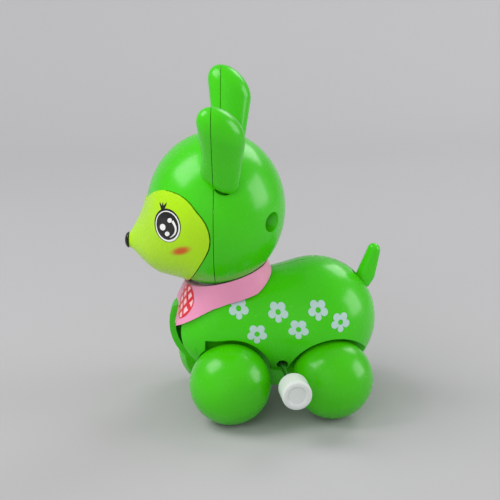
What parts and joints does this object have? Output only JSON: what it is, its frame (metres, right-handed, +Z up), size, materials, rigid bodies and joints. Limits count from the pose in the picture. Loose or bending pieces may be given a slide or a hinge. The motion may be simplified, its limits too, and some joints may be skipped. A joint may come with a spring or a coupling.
{
  "type": "wind-up toy",
  "caption": "Wind-up fawn toy on ball wheels, with clockwork drive, winding knob, turning head, wagging tail, face mask and neck scarf.",
  "frame": {"origin": "on the ground, under the middle of the bounding box", "axes": "+Z up, the fawn faces -X, and its left side, with the winding knob, is towards -Y"},
  "size_m": [0.0925, 0.0814, 0.1205],
  "materials": {
    "green_shell": "gloss moulded shell",
    "green_wheel": "gloss moulded wheel",
    "face": "gloss moulded mask, printed eyes and cheeks",
    "scarf": "satin moulded collar, printed check",
    "nose": "gloss black button",
    "white_plastic": "satin moulded",
    "motor_frame": "as moulded",
    "steel": "bright zinc plated",
    "gear_brass": "stamped brass"
  },
  "bodies": {
    "chassis": {"body_left_shell": "green_shell", "body_right_shell": "green_shell", "belly_plate": "green_wheel", "body_screws": "steel", "belly_screws": "steel", "collar_scarf": "scarf", "neck_bush": "white_plastic", "motor_left_plate": "motor_frame", "motor_right_plate": "motor_frame", "motor_pillars": "steel", "mainspring": "steel", "tail_pin": "steel"},
    "winding_key": {"winding_arbor": "steel", "winding_knob": "white_plastic", "great_wheel": "gear_brass"},
    "idler": {"idler_gear": "gear_brass"},
    "escape": {"escape_wheel": "gear_brass"},
    "pallet_lever": {"pallet": "gear_brass"},
    "rear_axle": {"rear_axle_rod": "steel", "axle_pinion": "gear_brass", "tail_cam": "white_plastic", "rear_left_wheel": "green_wheel", "rear_left_hub_cap": "green_wheel", "rear_right_wheel": "green_wheel", "rear_right_hub_cap": "green_wheel"},
    "front_axle": {"front_axle_rod": "steel", "front_left_wheel": "green_wheel", "front_left_hub_cap": "green_wheel", "front_right_wheel": "green_wheel", "front_right_hub_cap": "green_wheel"},
    "head": {"head_front_shell": "green_shell", "head_back_shell": "green_shell", "face_mask": "face", "nose_button": "nose", "head_screws": "steel", "neck_post": "white_plastic", "neck_retainer": "steel", "neck_screw": "steel"},
    "tail_lever": {"tail": "green_shell"}
  },
  "joints": [
    {"name": "rear_spin", "type": "hinge", "parent": "chassis", "child": "rear_axle", "pos_m": [0.0252, 0.0053, 0.0145], "axis": [0, 1, 0], "continuous": true},
    {"name": "front_spin", "type": "hinge", "parent": "chassis", "child": "front_axle", "pos_m": [-0.0118, 0.0053, 0.0145], "axis": [0, 1, 0], "continuous": true},
    {"name": "key_turn", "type": "hinge", "parent": "chassis", "child": "winding_key", "pos_m": [0.0075, 0.0053, 0.0195], "axis": [0, 1, 0], "continuous": true},
    {"name": "idler_spin", "type": "hinge", "parent": "chassis", "child": "idler", "pos_m": [0.017, 0.0053, 0.01929], "axis": [0, 1, 0], "continuous": true},
    {"name": "escape_spin", "type": "hinge", "parent": "chassis", "child": "escape", "pos_m": [0.01849, 0.0053, 0.02817], "axis": [0, 1, 0], "continuous": true},
    {"name": "pallet_rock", "type": "hinge", "parent": "chassis", "child": "pallet_lever", "pos_m": [0.01849, 0.0053, 0.03437], "axis": [0, 1, 0], "range_deg": [-4, 4]},
    {"name": "head_turn", "type": "hinge", "parent": "chassis", "child": "head", "pos_m": [-0.0108, 0.0053, 0.0523], "axis": [-0.2588, 0, 0.9659], "range_deg": [-14.5, 35.5]},
    {"name": "tail_wag", "type": "hinge", "parent": "chassis", "child": "tail_lever", "pos_m": [0.0381, 0.0053, 0.0406], "axis": [0, 1, 0], "range_deg": [-8, 8]}
  ],
  "couplings": [
    {"joint": "idler_spin", "follows": "rear_spin", "ratio": -0.46154},
    {"joint": "key_turn", "follows": "rear_spin", "ratio": 0.16484},
    {"joint": "escape_spin", "follows": "rear_spin", "ratio": 1.2}
  ]
}
